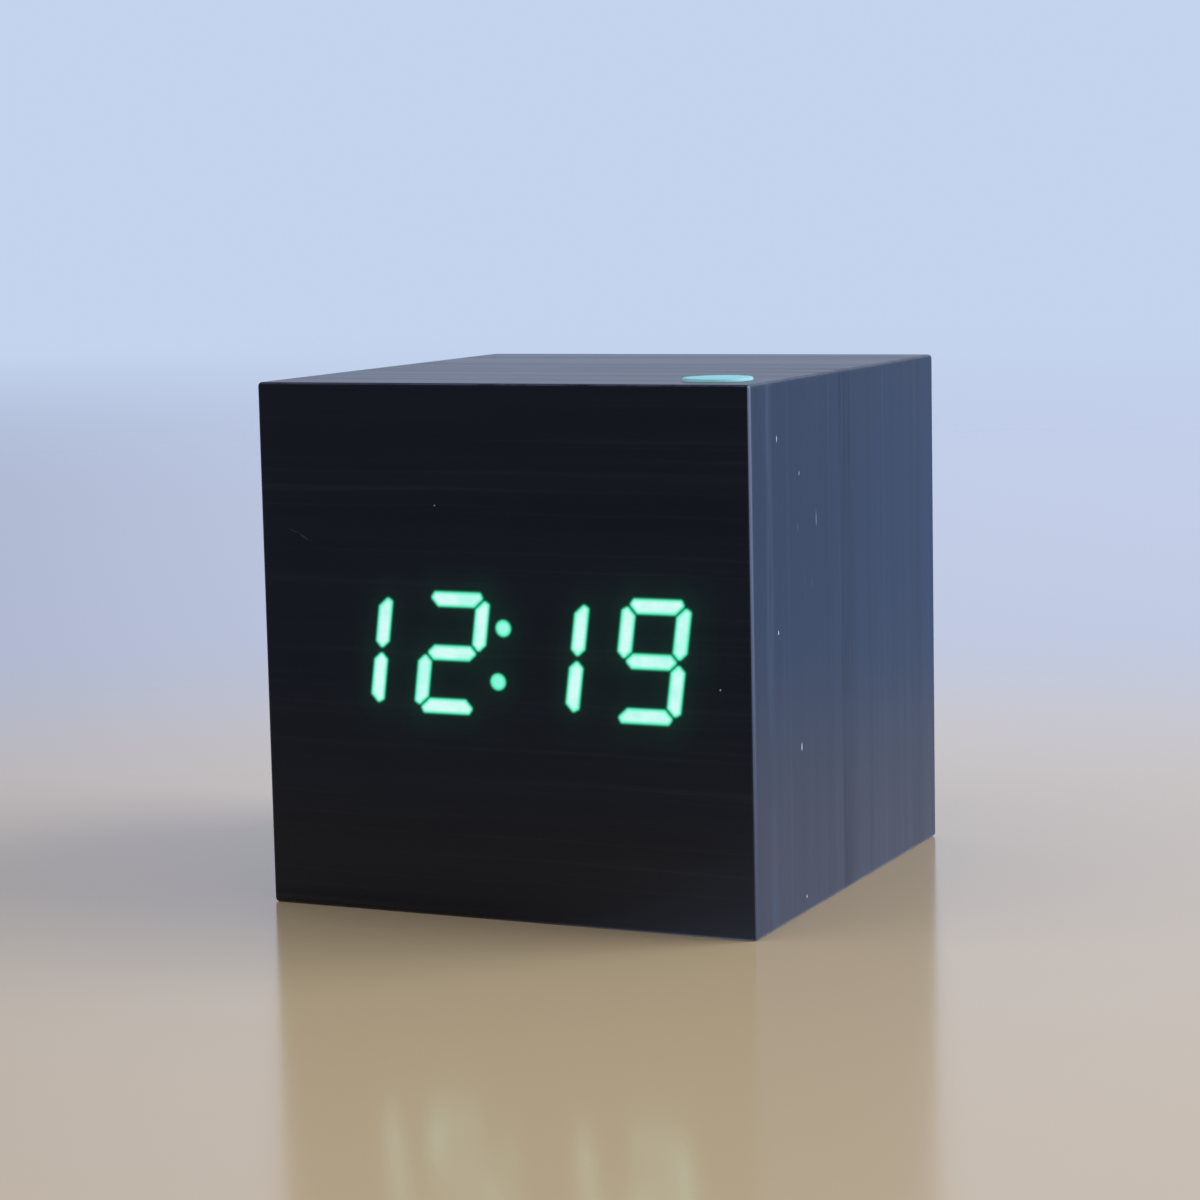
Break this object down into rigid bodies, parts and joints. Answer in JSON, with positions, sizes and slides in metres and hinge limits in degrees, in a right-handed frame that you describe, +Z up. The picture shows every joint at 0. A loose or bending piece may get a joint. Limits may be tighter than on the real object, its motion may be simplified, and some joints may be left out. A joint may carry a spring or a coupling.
{
  "type": "wooden cube alarm clock",
  "caption": "Cube alarm clock in dark wood-grain veneer; a green digital display shines through its front, with buttons and power socket behind and a battery bay underneath.",
  "frame": {"origin": "middle of the underside, on the surface the clock stands on", "axes": "+Z up, the display faces -Y, +X to the viewer's right"},
  "size_m": [0.062, 0.062, 0.0624],
  "materials": {
    "board": "black-stained fibreboard edge",
    "block": "plain softwood",
    "veneer": "satin black wood grain",
    "dot": "satin teal",
    "housing": "matt black moulding",
    "lit": "clear filling lit green",
    "dark_fill": "milky filling, unlit",
    "led": "clear-coated chip",
    "white_board": "white circuit laminate",
    "circuit": "green circuit laminate",
    "pin_metal": "tinned metal",
    "screw": "black oxide",
    "chip": "matt black resin",
    "connector": "natural nylon",
    "ribbon": "grey insulation",
    "switch": "matt black",
    "button": "satin dark grey",
    "moulding": "fine spark texture, black",
    "socket": "glossy black",
    "brass": "plated",
    "cell": "plain printed sleeve",
    "contact": "nickel-plated spring steel",
    "red_wire": "red insulation",
    "black_wire": "black insulation"
  },
  "bodies": {
    "casing": {"front_panel": "board", "top_panel": "board", "left_panel": "board", "right_panel": "board", "glue_blocks": "block", "board_pillars": "block", "side_veneer": "veneer", "front_veneer": "veneer", "top_dot": "dot", "display_housing": "housing", "hour_tens": "lit", "hour_units": "lit", "colon_dots": "lit", "minute_tens": "lit", "minute_units": "lit", "dark_segments": "dark_fill", "led_chips": "led", "display_board": "white_board", "main_board": "circuit", "switch_board": "circuit", "display_pins": "pin_metal", "chip_leads": "pin_metal", "crystal": "pin_metal", "coin_cell": "pin_metal", "microphone": "pin_metal", "board_screws": "screw", "switch_screws": "screw", "cover_screws": "screw", "base_screws": "screw", "clock_chip": "chip", "resistors": "chip", "buzzer": "chip", "capacitor": "chip", "coin_holder": "chip", "lead_plug": "connector", "board_header": "connector", "switch_header": "connector", "ribbon_cable": "ribbon", "switches": "switch", "rear_cover": "moulding", "base_tray": "moulding", "power_socket": "socket", "socket_pin": "brass", "left_cell": "cell", "middle_cell": "cell", "right_cell": "cell", "cell_springs": "contact", "link_plates": "contact", "end_plates": "contact", "red_lead": "red_wire", "black_lead": "black_wire"},
    "set_button": {"set_button": "button", "set_plunger": "switch"},
    "up_button": {"up_button": "button", "up_plunger": "switch"},
    "down_button": {"down_button": "button", "down_plunger": "switch"},
    "battery_door": {"battery_door": "moulding"}
  },
  "joints": [
    {"name": "set_button_press", "type": "slide", "parent": "casing", "child": "set_button", "axis": [0, -1, 0], "range_m": [0, 0.0004], "stiffness_N_per_m": 2000},
    {"name": "up_button_press", "type": "slide", "parent": "casing", "child": "up_button", "axis": [0, -1, 0], "range_m": [0, 0.0004], "stiffness_N_per_m": 2000},
    {"name": "down_button_press", "type": "slide", "parent": "casing", "child": "down_button", "axis": [0, -1, 0], "range_m": [0, 0.0004], "stiffness_N_per_m": 2000},
    {"name": "battery_door_hinge", "type": "hinge", "parent": "casing", "child": "battery_door", "pos_m": [0, -0.0251, 0.0002], "axis": [-1, 0, 0], "range_deg": [0, 60]}
  ]
}
